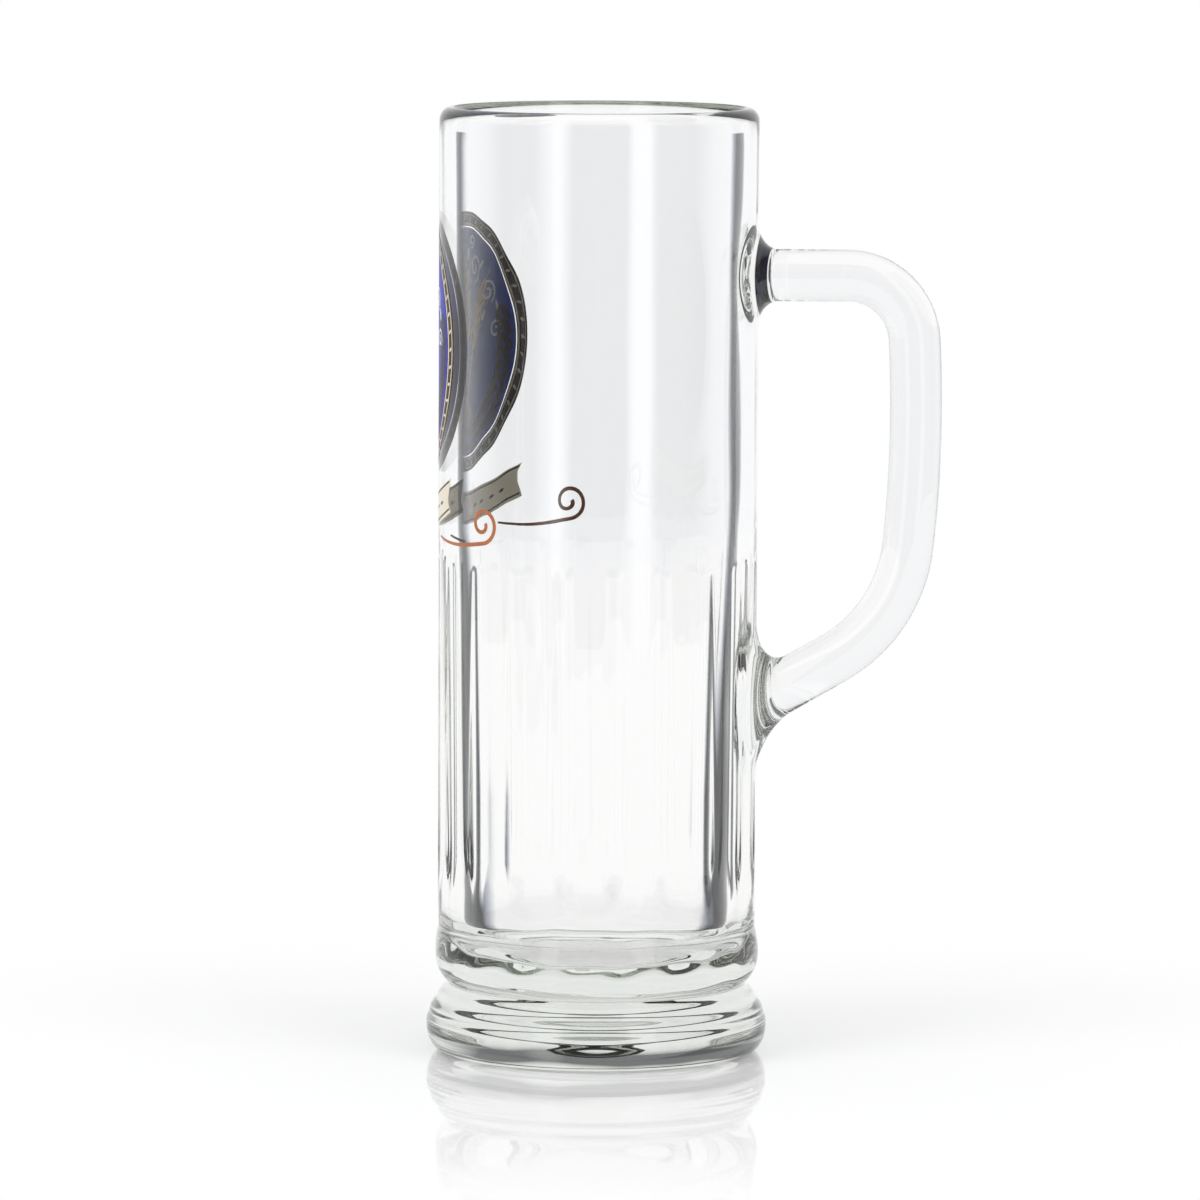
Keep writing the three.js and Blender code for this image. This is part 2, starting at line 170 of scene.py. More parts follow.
class MugStudio(bpy.types.PropertyGroup):
    """Floor, paper tent and camera"""

    floor_size: length("Floor Size", "Side of the square floor", 60000)
    clear_radius: length("Clear Radius", "Where the floor starts to melt into the background", 45)
    melt_radius: length("Melt Radius", "Where the floor has melted into the background", 230)
    tent_radius: length("Tent Radius", "From the mug to the paper round it", 900)
    tent_height: length("Tent Height", "Height of the paper round the mug", 1400)
    focal_length: bpy.props.FloatProperty(
        name="Focal Length",
        description="Lens of the camera in millimetres on a 36 mm sensor",
        default=257.0,
        min=1.0,
    )


# Outlines of the glass, as (radius, height) pairs


def line(start, end, steps):
    return [
        (start[0] + (end[0] - start[0]) * k / steps, start[1] + (end[1] - start[1]) * k / steps)
        for k in range(1, steps + 1)
    ]


def ellipse(centre, width, height, first, last, steps):
    turns = [first + (last - first) * k / steps for k in range(1, steps + 1)]
    return [(centre[0] + width * math.cos(t), centre[1] + height * math.sin(t)) for t in turns]


def cubic(a, b, c, d, steps):
    points = []
    for k in range(1, steps + 1):
        t = k / steps
        weights = ((1 - t) ** 3, 3 * t * (1 - t) ** 2, 3 * t * t * (1 - t), t**3)
        points.append(tuple(sum(w * p[i] for w, p in zip(weights, (a, b, c, d))) for i in range(2)))
    return points


# How much of the wall each handle joint takes up: in height, in rows, and in columns to each side
UPPER_JOINT_HALF_HEIGHT = 13.5 * MM
LOWER_JOINT_SPAN = (59.5 * MM, 99 * MM)
JOINT_ROWS = 22
JOINT_COLUMNS = 19

# Rise of the underside's middle, and its rows
DOME = 3.5 * MM
DOME_ROWS = 8

# How far the waist's curves lean from level, as a share of their width
WAIST_LEAN_SHARE = 0.33

# Pulls of the foot's lower and upper curves, as shares of its reach, of its widest height and of the lean
FOOT_REACH_SHARE = 0.62
FOOT_LOW_SHARE, FOOT_EDGE_SHARE, FOOT_HIGH_SHARE = 0.30, 0.86, 1.28
FLARE_LEAN_SHARE = 1.6
FOOT_RIDGES = 3


def joint_spans(g):
    """Lowest and highest wall height that each handle joint takes up, upper joint first"""
    upper = g.mug_height - g.upper_arm_below_rim
    return (upper - UPPER_JOINT_HALF_HEIGHT, upper + UPPER_JOINT_HALF_HEIGHT), LOWER_JOINT_SPAN


def outer_outline(g):
    """From the middle of the underside up to the crest of the rim, and the rows of each joint"""
    upper, lower = joint_spans(g)
    ring_inside = g.standing_ring_radius - g.standing_ring_width
    recess = g.underside_recess
    waist_lean = (g.foot_radius - g.waist_radius) * WAIST_LEAN_SHARE
    swell_lean = (g.swell_radius - g.waist_radius) * WAIST_LEAN_SHARE
    shoulder = g.mug_height - g.plain_band_height
    room = ring_inside - 3 * recess
    shares = [k / DOME_ROWS for k in range(DOME_ROWS + 1)]
    points = [(room * share, recess + DOME * (1 - share * share)) for share in shares]
    points += cubic(
        points[-1],
        (ring_inside - recess, recess),
        (ring_inside - recess, 0.0),
        (ring_inside + recess, 0.0),
        6,
    )
    points += line(points[-1], (g.standing_ring_radius, 0.0), 2)
    reach = g.foot_radius - g.standing_ring_radius
    points += cubic(
        points[-1],
        (g.standing_ring_radius + reach * FOOT_REACH_SHARE, 0.0),
        (g.foot_radius, g.foot_widest_height * FOOT_LOW_SHARE),
        (g.foot_radius, g.foot_widest_height * FOOT_EDGE_SHARE),
        14,
    )
    flare_points = cubic(
        points[-1],
        (g.foot_radius, g.foot_widest_height * FOOT_HIGH_SHARE),
        ((g.foot_radius + g.waist_radius) / 2, g.waist_height - waist_lean * FLARE_LEAN_SHARE),
        (g.waist_radius, g.waist_height),
        26,
    )
    for k, (radius, height) in enumerate(flare_points):
        share = (k + 1) / len(flare_points)
        ridge = g.foot_ridge * math.sin(math.pi * share) * math.sin(share * FOOT_RIDGES * 2 * math.pi)
        points.append((radius + ridge, height))
    points += cubic(
        points[-1],
        ((g.waist_radius + g.swell_radius) / 2, g.waist_height + swell_lean),
        (g.swell_radius, (g.waist_height + g.swell_height) / 2),
        (g.swell_radius, g.swell_height),
        12,
    )
    run_out = g.swell_height + g.swell_blend
    points += cubic(
        points[-1],
        (g.swell_radius, g.swell_height + g.swell_blend / 3),
        (g.barrel_radius + (g.swell_radius - g.barrel_radius) * 2 / 3, run_out - g.swell_blend / 3),
        (g.barrel_radius, run_out),
        12,
    )
    points += line(points[-1], (g.barrel_radius, lower[0]), 9)
    lower_rows = (len(points) - 1, len(points) - 1 + JOINT_ROWS)
    points += line(points[-1], (g.barrel_radius, lower[1]), JOINT_ROWS)
    points += line(points[-1], (g.barrel_radius, shoulder - 2 * g.flute_top_drop), 4)
    points += line(points[-1], (g.barrel_radius, shoulder), 20)
    points += line(points[-1], (g.barrel_radius, upper[0]), 10)
    upper_rows = (len(points) - 1, len(points) - 1 + JOINT_ROWS)
    points += line(points[-1], (g.barrel_radius, upper[1]), JOINT_ROWS)
    points += line(points[-1], (g.barrel_radius, g.mug_height - g.rim_round_height), 5)
    points += ellipse(
        (g.barrel_radius - g.rim_outer_round, g.mug_height - g.rim_round_height),
        g.rim_outer_round,
        g.rim_round_height,
        0,
        math.pi / 2,
        10,
    )
    return points, upper_rows, lower_rows


# Where the inner wall has its middle thickness, as a share of the height
KNEE_SHARE = 0.56


def inner_outline(g):
    """From the crest of the rim down to the middle of the floor inside"""
    rim_inside = g.barrel_radius - g.rim_wall
    shoulder_inside = g.barrel_radius - g.shoulder_wall
    base_inside = g.barrel_radius - g.base_wall
    knee = g.mug_height * KNEE_SHARE
    points = ellipse(
        (rim_inside + g.rim_inner_round, g.mug_height - g.rim_inner_round),
        g.rim_inner_round,
        g.rim_inner_round,
        math.pi / 2,
        math.pi,
        5,
    )
    start = points[-1]
    corner = (shoulder_inside, g.mug_height - g.rim_taper_height)
    end = (shoulder_inside, knee)
    steps = 30
    crowding = 1.4
    for k in range(1, steps + 1):
        t = (k / steps) ** crowding
        points.append(
            tuple(
                (1 - t) ** 2 * start[i] + 2 * t * (1 - t) * corner[i] + t * t * end[i]
                for i in range(2)
            )
        )
    points += line(points[-1], (base_inside, g.floor_height + g.floor_fillet), 30)
    points += ellipse(
        (base_inside - g.floor_fillet, g.floor_height + g.floor_fillet),
        g.floor_fillet,
        g.floor_fillet,
        0,
        -math.pi / 2,
        14,
    )
    points += line(points[-1], (0.0, g.floor_height), 10)
    return points


# Shape of the wall

FLUTES = 20
COLUMNS_PER_FLUTE = 16
COLUMNS = FLUTES * COLUMNS_PER_FLUTE
FLUTE_PITCH = 2 * math.pi / FLUTES

# Where the columns of half a flute stand, as shares of its half width, closer together at its crease
FLUTE_SHARES = (0, 0.36, 0.68, 0.90, 1.0, 1.10)
# Where the columns between a flute's crease and the bar's middle stand, as shares of that distance
BAR_SHARES = (0.25, 0.6, 1)


def flute_ends(g):
    """Heights between which a flute's hollow runs straight"""
    shoulder = g.mug_height - g.plain_band_height
    top = shoulder - g.flute_top_drop - math.sqrt(2 * g.flute_radius * g.flute_top_depth)
    return g.swell_height + 4.5 * g.swell_blend, top


def flute_depth(g, height):
    """Depth of a flute's middle under the barrel's radius"""
    foot, top = flute_ends(g)
    share = min(max((height - foot) / (top - foot), 0.0), 1.0)
    straight = smooth(height, g.swell_height, foot)
    depth = g.flute_foot_depth + (g.flute_top_depth - g.flute_foot_depth) * share
    return depth * straight - g.flute_run_out * (1 - straight)


def column_turn(g, column, height, gathered):
    """Direction of a column, which follows the flutes where gathered is 1 and is even where it is 0"""
    even = column * 2 * math.pi / COLUMNS
    if not gathered:
        return even
    half = COLUMNS_PER_FLUTE // 2
    flute, step = divmod(column, COLUMNS_PER_FLUTE)
    step -= half
    depth = max(flute_depth(g, height), g.flute_top_depth)
    width = math.sqrt(2 * depth * g.flute_radius * g.barrel_radius / (g.flute_radius + g.barrel_radius))
    side = min(width / g.barrel_radius, FLUTE_PITCH * 0.44)
    if abs(step) < len(FLUTE_SHARES):
        along = side * FLUTE_SHARES[abs(step)]
    else:
        edge = side * FLUTE_SHARES[-1]
        along = edge + (FLUTE_PITCH / 2 - edge) * BAR_SHARES[abs(step) - len(FLUTE_SHARES)]
    along = math.copysign(along, step)
    return even + ((flute + 0.5) * FLUTE_PITCH + along - even) * gathered


# Slow waves, as (size, first frequency, second frequency, phase)
SWELL_WAVES = ((1 / 2.8, 7, 0, 0.7), (1 / 2.8, 12, 1 / 4, 2.9), (0.8 / 2.8, 19, -1 / 3, 1.1))
SWELL_SINK = 0.6
WALL_WAVES = ((0.5, 3, 9, 0.0), (0.35, 7, 4, 1.3), (0.12, 29, 0, 0.4))
FLOOR_WAVES = ((0.45, 2.1, 1.2, 0.6), (0.35, -1.7, 2.6, 2.2))

# Bulges behind the upper and the lower joint, as (half height, half width)
BULGES = ((6.0 * MM, 5.0 * MM), (10.0 * MM, 5.5 * MM))


def waves(rows, a, b):
    return sum(size * math.sin(p * a + q * b + phase) for size, p, q, phase in rows)


def wall_radius(g, envelope, turn, height):
    """Outside radius: the envelope, or the hollow of the nearest flute where that lies deeper"""
    foot, top = flute_ends(g)
    if height < foot:
        zone = smooth(height, g.waist_height, g.swell_height) * (1 - smooth(height, g.swell_height, foot))
        envelope += g.swell_wave * zone * (waves(SWELL_WAVES, turn, height / MM) - SWELL_SINK)
    away = (turn % FLUTE_PITCH) - FLUTE_PITCH / 2
    middle = g.barrel_radius + g.flute_radius - flute_depth(g, height)
    beyond = max(height - top, 0.0)
    inside = g.flute_radius**2 - beyond**2 - (middle * math.sin(away)) ** 2
    if inside <= 0:
        return envelope
    hollow = middle * math.cos(away) - math.sqrt(inside)
    near = max(g.flute_crease - abs(envelope - hollow), 0.0) / g.flute_crease
    return min(envelope, hollow) - near * near * g.flute_crease / 4


def smooth(value, low, high):
    t = min(max((value - low) / (high - low), 0.0), 1.0)
    return t * t * (3 - 2 * t)


def inner_change(g, radius, turn, height):
    """How far the inner wall moves inwards: the bulges behind the joints and slow ripples"""
    change = 0.0
    for span, (tall, wide) in zip(joint_spans(g), BULGES):
        up = (height - (span[0] + span[1]) / 2) / tall
        across = (math.remainder(turn, 2 * math.pi) * radius) / wide
        change += g.joint_bulge * math.exp(-(up * up + across * across) / 2)
    share = height / g.mug_height
    bent = 0.22 * math.sin(13 * turn + 2.1 + 6 * math.sin(5 * share))
    return change + g.ripple * (waves(WALL_WAVES, turn, share) + bent)


def floor_change(g, x, y):
    """Height of the ripples in the floor inside"""
    a, b = x / g.floor_fillet, y / g.floor_fillet
    bent = 0.25 * math.sin(4.4 * a + 3.1 * b + 1.1 + math.sin(1.9 * b))
    return g.floor_ripple * (waves(FLOOR_WAVES, a, b) + bent)


# Sweeping one row of joined edges into a surface


def extrude_row(bm, edges, verts, places):
    """Extrudes a row of joined edges and moves its vertices, kept in order, to their new places"""
    made = bmesh.ops.extrude_edge_only(bm, edges=edges)["geom"]
    at = {tuple(v.co): k for k, v in enumerate(verts)}
    row = [None] * len(verts)
    for item in made:
        if isinstance(item, bmesh.types.BMVert):
            row[at[tuple(item.co)]] = item
    for v, place in zip(row, places):
        v.co = place
    lines = [item for item in made if isinstance(item, bmesh.types.BMEdge)]
    return [e for e in lines if all(v in row for v in e.verts)], row


# The handle: lean and bow of its leg, slope of its lower arm, and the steps of its three bends
LEG_LEAN, LEG_BOW, LOWER_ARM_SLOPE = math.radians(3.1), math.radians(9), math.radians(30)
BEND_STEPS = (34, 18, 34)

# Fillets of the joints, as (length along the arm, length along the wall), or one length for both
UPPER_FILLET = {"top": (4.6 * MM, 5.4 * MM), "bottom": (4.6 * MM, 5.4 * MM), "side": 5 * MM}
LOWER_FILLET = {"top": (8 * MM, 11 * MM), "bottom": (9.6 * MM, 9.8 * MM), "side": 6.5 * MM}
FILLET_STEPS = 12
# How closely a fillet follows its corner
FILLET_PULL = 0.55


def handle_line(g):
    """Middle of the rod from the upper joint to the lower one, as (x, z, heading)"""
    upper_turn = math.pi / 2 - LEG_LEAN
    lower_turn = math.pi / 2 - LOWER_ARM_SLOPE + LEG_LEAN - LEG_BOW
    start = (
        g.handle_reach
        - g.handle_radius
        - g.upper_bend_radius * math.sin(upper_turn)
        - g.leg_bow_radius * (1 - math.sin(upper_turn))
    )
    points = [(start, g.mug_height - g.upper_arm_below_rim, 0.0)]
    bends = (
        (g.upper_bend_radius, upper_turn),
        (g.leg_bow_radius, LEG_BOW),
        (g.lower_bend_radius, lower_turn),
    )
    for (radius, turn), count in zip(bends, BEND_STEPS):
        for _ in range(count):
            x, z, heading = points[-1]
            chord = 2 * radius * math.sin(turn / count / 2)
            along = heading - turn / count / 2
            heading -= turn / count
            points.append((x + chord * math.cos(along), z + chord * math.sin(along), heading))
    return points


def rod_ring(g, x, z, heading, count):
    ring = []
    for i in range(count):
        turn = 2 * math.pi * i / count
        up, side = g.handle_radius * math.cos(turn), g.handle_radius * math.sin(turn)
        ring.append(Vector((x - up * math.sin(heading), side, z + up * math.cos(heading))))
    return ring


def flare(g, ring, centre, along, lengths):
    """Rings from the rod's end ring onto the wall, with the fillet of a hot-fused joint"""
    rings = [[] for _ in range(FILLET_STEPS)]
    for point in ring:
        a = along.x**2 + along.y**2
        b = point.x * along.x + point.y * along.y
        c = point.x**2 + point.y**2 - g.barrel_radius**2
        corner = point + along * ((-b - math.sqrt(b * b - a * c)) / a)
        outward = (point - centre) / g.handle_radius
        radial = Vector((corner.x, corner.y, 0)).normalized()
        wallward = (outward - radial * outward.dot(radial)).normalized()
        above = max(wallward.z, 0.0) ** 2
        below = max(-wallward.z, 0.0) ** 2
        beside = 1 - above - below
        arm, wall = (
            top * above + bottom * below + lengths["side"] * beside
            for top, bottom in zip(lengths["top"], lengths["bottom"])
        )
        start = corner - along * arm
        end = corner + wallward * wall
        turn = math.atan2(end.y, end.x)
        radius = wall_radius(g, g.barrel_radius, turn, end.z)
        end = Vector((radius * math.cos(turn), radius * math.sin(turn), end.z))
        b1, b2 = start.lerp(corner, FILLET_PULL), end.lerp(corner, FILLET_PULL)
        for k in range(FILLET_STEPS):
            t = (k + 1) / FILLET_STEPS
            early, late = b1 * 3 * t * (1 - t) ** 2, b2 * 3 * t * t * (1 - t)
            rings[k].append(start * (1 - t) ** 3 + early + late + end * t**3)
    return rings


def wall_loop(grid, rows, from_top):
    """Vertices round a joint's hole in the wall, from its middle row end and towards +Y first"""
    low, high = rows
    n = JOINT_COLUMNS
    start, stop, step = (high, low, -1) if from_top else (low, high, 1)
    keys = [(c, start) for c in range(0, n)]
    keys += [(n, r) for r in range(start, stop, step)]
    keys += [(c, stop) for c in range(n, -n, -1)]
    keys += [(-n, r) for r in range(stop, start, -step)]
    keys += [(c, start) for c in range(-n, 0)]
    return [grid[(c % COLUMNS, r)] for c, r in keys]


def on_wall(g, start, end, share):
    """A point part of the way along the wall between two points of it"""
    a, b = math.atan2(start.y, start.x), math.atan2(end.y, end.x)
    turn, height = a + (b - a) * share, start.z + (end.z - start.z) * share
    radius = wall_radius(g, g.barrel_radius, turn, height)
    return Vector((radius * math.cos(turn), radius * math.sin(turn), height))


def spin_wedge(outline):
    """One flute's share of the turned glass, with the outline's row number kept on each vertex"""
    bm = bmesh.new()
    row_layer = bm.verts.layers.int.new("row")
    verts = [bm.verts.new((r, 0, z)) for r, z in outline]
    for k, v in enumerate(verts):
        v[row_layer] = k
    edges = [bm.edges.new(pair) for pair in zip(verts, verts[1:])]
    bmesh.ops.spin(
        bm, geom=verts + edges, cent=(0, 0, 0), axis=(0, 0, 1), angle=FLUTE_PITCH, steps=COLUMNS_PER_FLUTE
    )
    return bm, row_layer


def make_vessel_mesh(g, outline):
    """The turned glass all round"""
    bm, row_layer = spin_wedge(outline)
    wedge = bm.verts[:] + bm.edges[:] + bm.faces[:]
    for k in range(1, FLUTES):
        copy = bmesh.ops.duplicate(bm, geom=wedge)["geom"]
        verts = [v for v in copy if isinstance(v, bmesh.types.BMVert)]
        turn = Matrix.Rotation(k * FLUTE_PITCH, 3, "Z")
        bmesh.ops.rotate(bm, verts=verts, cent=(0, 0, 0), matrix=turn)
    bmesh.ops.remove_doubles(bm, verts=bm.verts[:], dist=TINY)
    return bm, row_layer


def make_handle_mesh(g, upper_loop, lower_loop):
    """The rod and the fillets of its hot-fused joints, from one hole in the wall to the other"""
    count = len(upper_loop)
    centre_line = handle_line(g)
    first, final = centre_line[0], centre_line[-1]
    upper_flare = flare(
        g,
        rod_ring(g, *first, count),
        Vector((first[0], 0, first[1])),
        Vector((-1, 0, 0)),
        UPPER_FILLET,
    )
    lower_flare = flare(
        g,
        rod_ring(g, *final, count),
        Vector((final[0], 0, final[1])),
        Vector((math.cos(final[2]), 0, math.sin(final[2]))),
        LOWER_FILLET,
    )

    def between(loop, ring, shares):
        return [[on_wall(g, a, b, share) for a, b in zip(loop, ring)] for share in shares]

    rings = between(upper_loop, upper_flare[-1], (0.25, 0.5, 0.75))
    rings += upper_flare[::-1]
    rings += [rod_ring(g, *at, count) for at in centre_line]
    rings += lower_flare
    rings += between(lower_loop, lower_flare[-1], (0.75, 0.5, 0.25))
    rings.append(lower_loop)
    bm = bmesh.new()
    row = [bm.verts.new(place) for place in upper_loop]
    edges = [bm.edges.new(pair) for pair in zip(row, row[1:] + row[:1])]
    for ring in rings:
        edges, row = extrude_row(bm, edges, row, ring)
    return bm


def make_glass_mesh(g):
    """The vessel and its handle as one closed, smooth skin"""
    outer, upper_rows, lower_rows = outer_outline(g)
    outline = outer + inner_outline(g)
    bm, row_layer = make_vessel_mesh(g, outline)
    grid = {}
    last = len(outline) - 1
    for v in bm.verts:
        row = v[row_layer]
        column = round(math.atan2(v.co.y, v.co.x) / (2 * math.pi / COLUMNS)) % COLUMNS
        if 0 < row < last:
            grid[(column, row)] = v
    shoulder = g.mug_height - g.plain_band_height
    for (column, row), v in grid.items():
        base, height = outline[row]
        gathered = 1 - smooth(height, shoulder + 2 * MM, shoulder + 16 * MM)
        turn = column_turn(g, column, height, gathered)
        radius = base
        if row < len(outer):
            if g.waist_height < height < shoulder:
                radius = wall_radius(g, base, turn, height)
        else:
            depth = smooth(base, g.floor_fillet / 2, g.floor_fillet * 2)
            fade = 1 - smooth(height, g.mug_height - 8 * MM, g.mug_height - 1 * MM)
            radius = base - inner_change(g, base, turn, height) * depth * fade
        x, y = radius * math.cos(turn), radius * math.sin(turn)
        if row >= len(outer):
            corner = height - g.floor_height
            height += floor_change(g, x, y) * (1 - smooth(corner, g.floor_fillet / 3, g.floor_fillet))
        v.co = (x, y, height)
    loops = [
        [v.co.copy() for v in wall_loop(grid, upper_rows, True)],
        [v.co.copy() for v in wall_loop(grid, lower_rows, False)],
    ]
    inside = [
        grid[(c % COLUMNS, r)]
        for rows in (upper_rows, lower_rows)
        for c in range(1 - JOINT_COLUMNS, JOINT_COLUMNS)
        for r in range(rows[0] + 1, rows[1])
    ]
    bmesh.ops.delete(bm, geom=inside, context="VERTS")
    handle = make_handle_mesh(g, *loops)
    mesh = bpy.data.meshes.new("handle_part")
    handle.to_mesh(mesh)
    handle.free()
    bm.from_mesh(mesh)
    bpy.data.meshes.remove(mesh)
    bmesh.ops.remove_doubles(bm, verts=bm.verts[:], dist=TINY)
    bmesh.ops.recalc_face_normals(bm, faces=bm.faces[:])
    return bm


# Materials


class Tree:
    """A node tree, with short ways to add nodes and join them"""

    def __init__(self, owner):
        self.nodes, self.links = owner.nodes, owner.links

    def add(self, kind, inputs=None, **settings):
        """A new node, its inputs fed by values or by other nodes' outputs"""
        node = self.nodes.new("ShaderNode" + kind)
        for name, value in settings.items():
            setattr(node, name, value)
        for key, value in (inputs or {}).items():
            if isinstance(value, bpy.types.NodeSocket):
                self.links.new(value, node.inputs[key])
            else:
                node.inputs[key].default_value = value
        return node

    def math(self, operation, *values):
        return self.add("Math", dict(enumerate(values)), operation=operation).outputs[0]

    def noise(self, place, scale, detail):
        inputs = {"Vector": place, "Scale": scale, "Detail": detail}
        return self.add("TexNoise", inputs).outputs["Fac"]

    def remap(self, value, start, end):
        inputs = {"Value": value}
        inputs["From Min"], inputs["From Max"] = start
        inputs["To Min"], inputs["To Max"] = end
        return self.add("MapRange", inputs).outputs["Result"]

    def ramp(self, value, stops):
        """Colours along a value, from stops of (position, colour)"""
        node = self.add("ValToRGB", {"Fac": value})
        elements = node.color_ramp.elements
        while len(elements) < len(stops):
            elements.new(0.5)
        for element, (position, shade) in zip(elements, stops):
            element.position, element.color = position, shade
        return node.outputs["Color"]

    def mix(self, factor, first, second):
        inputs = {"Factor": factor, "A": first, "B": second}
        return self.add("Mix", inputs, data_type="RGBA").outputs["Result"]

    def from_axis(self, place):
        """Distance of a place from the mug's axis"""
        flat = self.add("VectorMath", {0: place, 1: (1, 1, 0)}, operation="MULTIPLY")
        return self.add("VectorMath", {0: flat.outputs["Vector"]}, operation="LENGTH").outputs["Value"]


def new_material(name):
    material = bpy.data.materials.new(name)
    material.use_nodes = True
    return material, Tree(material.node_tree), material.node_tree.nodes["Principled BSDF"]


def grey(level):
    return level, level, level, 1


# Painted shade low on the foot: dark streaks in the glass's colour that stand in for the shaded table seen
# through it; their height as shares of a full height, and how far they waver
FOOT_SHADE_STOPS = ((0.10, grey(0)), (0.22, grey(1)), (0.46, grey(1)), (0.56, grey(0.25)), (0.66, grey(0)))
FOOT_SHADE_HEIGHT = 10 * MM
FOOT_SHADE_WAVER = 0.45
FOOT_SHADE_DROP = 0.22
FOOT_SHADE_INNER_RADIUS = 33.4 * MM
FOOT_SHADE_COLOUR = (0.012, 0.012, 0.016, 1)

# Painted shade: a dark line inside each side of the barrel, in the glass's colour, standing in for the dark
# surroundings the glass shows where the sight grazes the inner wall; colours by how far the sight grazes it
EDGE_STOPS = (
    (0.202, grey(1)),
    (0.212, (0.2, 0.22, 0.28, 1)),
    (0.220, (0.001, 0.0011, 0.0014, 1)),
    (0.264, (0.001, 0.0011, 0.0014, 1)),
    (0.274, grey(1)),
)
# Between these heights the line widens downwards: the factor and the shift at the lower and the upper one
EDGE_CHANGE = (60 * MM, 120 * MM)
EDGE_FACTORS, EDGE_SHIFTS = (0.5, 1.0), (0.130, 0.0)
# Where the line may be: inside this radius and between these heights
EDGE_RADIUS = 32.4 * MM
EDGE_FOOT, EDGE_TOP = 30 * MM, 206 * MM


def painted_foot_shade(tree, place, height, radius):
    """How much painted shade darkens the foot's colour, where it gathers what lies below it"""
    waver = tree.noise(place, 32.0, 2.0)
    share = tree.math("MULTIPLY_ADD", waver, FOOT_SHADE_WAVER, tree.math("DIVIDE", height, FOOT_SHADE_HEIGHT))
    streak = tree.ramp(tree.math("SUBTRACT", share, FOOT_SHADE_DROP), FOOT_SHADE_STOPS)
    patch = tree.remap(tree.noise(place, 17.0, 1.0), (0.40, 0.56), (0.15, 0.97))
    outer = tree.math("GREATER_THAN", radius, FOOT_SHADE_INNER_RADIUS)
    return tree.math("MULTIPLY", tree.math("MULTIPLY", streak, patch), outer)


def painted_edge_shade(tree, height, radius):
    """Painted shade in the glass's colour, dark where the sight grazes the inner wall from within the glass
    """
    facing = tree.add("LayerWeight", {"Blend": 0.5}).outputs["Facing"]
    factor = tree.remap(height, EDGE_CHANGE, EDGE_FACTORS)
    shift = tree.remap(height, EDGE_CHANGE, EDGE_SHIFTS)
    line = tree.ramp(tree.math("MULTIPLY_ADD", facing, factor, shift), EDGE_STOPS)
    within = tree.add("NewGeometry").outputs["Backfacing"]
    for operation, value, limit in (
        ("LESS_THAN", radius, EDGE_RADIUS),
        ("GREATER_THAN", height, EDGE_FOOT),
        ("LESS_THAN", height, EDGE_TOP),
    ):
        within = tree.math("MULTIPLY", within, tree.math(operation, value, limit))
    return tree.mix(within, grey(1), line)


def glass_material(colours):
    material, tree, shader = new_material("clear_glass")
    shader.inputs["Base Color"].default_value = (1, 1, 1, 1)
    shader.inputs["Metallic"].default_value = 0.0
    shader.inputs["Roughness"].default_value = 0.0
    shader.inputs["IOR"].default_value = 1.52
    shader.inputs["Transmission Weight"].default_value = 1.0
    place = tree.add("TexCoord").outputs["Object"]
    height = tree.add("SeparateXYZ", {"Vector": place}).outputs["Z"]
    radius = tree.from_axis(place)
    # Painted shade: a dark line where the sight grazes the inner wall, put into the glass's colour and into
    # the reflections' tint
    edge_shade = painted_edge_shade(tree, height, radius)
    # Painted shade: dark streaks low on the foot, mixed into the glass's colour
    base = tree.mix(painted_foot_shade(tree, place, height, radius), edge_shade, FOOT_SHADE_COLOUR)
    tree.links.new(edge_shade, shader.inputs["Specular Tint"])
    tree.links.new(base, shader.inputs["Base Color"])
    inputs = {"Color": (*colours.glass, 1), "Density": 9.0}
    absorption = tree.add("VolumeAbsorption", inputs)
    tree.links.new(absorption.outputs["Volume"], tree.nodes["Material Output"].inputs["Volume"])
    return material


def new_object(name, bm, material):
    """Turns a bmesh into an object at the origin"""
    mesh = bpy.data.meshes.new(name)
    bm.to_mesh(mesh)
    bm.free()
    mesh.materials.append(material)
    made = bpy.data.objects.new(name, mesh)
    bpy.context.scene.collection.objects.link(made)
    return made


def finish_piece(name, bm, material, smooth_faces=True):
    """Turns a bmesh into a piece that rides on the mug"""
    piece = new_object(name, bm, material)
    for polygon in piece.data.polygons:
        polygon.use_smooth = smooth_faces
    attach(piece, "root")
    return piece


class MUG_OT_glass(bpy.types.Operator):
    """Makes the vessel and its handle in one smooth piece of glass"""

    bl_idname = "mug.glass"
    bl_label = "Glass Vessel and Handle"

    def execute(self, context):
        g = context.scene.mug_glass_sizes
        bm = make_glass_mesh(g)
        open_edges = [e for e in bm.edges if len(e.link_faces) != 2]
        if open_edges:
            raise RuntimeError(f"the glass has {len(open_edges)} open edges")
        piece = finish_piece("mug_glass", bm, glass_material(context.scene.mug_colours))
        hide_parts("vessel", "handle")
        return {"FINISHED"}


# Fired enamel print, drawn flat in (round, up) and then laid round the barrel


def print_frame(g, m):
    """Base line, middle and half height of the medallion"""
    base = g.mug_height - g.plain_band_height + m.base_above_shoulder
    top = g.mug_height - m.below_rim
    bottom = base + m.ribbon_rise + m.ribbon_breadth + m.above_ribbon
    return base, (top + bottom) / 2, (top - bottom) / 2


def stroke(points, widths):
    """Rows of two points along a curve that is drawn with a pen of the given widths"""
    rows = []
    for k, (u, v) in enumerate(points):
        before, after = points[max(k - 1, 0)], points[min(k + 1, len(points) - 1)]
        du, dv = after[0] - before[0], after[1] - before[1]
        size = math.hypot(du, dv)
        half = max(widths[k], 0.04 * MM) / 2
        nu, nv = -dv / size * half, du / size * half
        rows.append([(u - nu, v - nv), (u, v), (u + nu, v + nv)])
    return rows


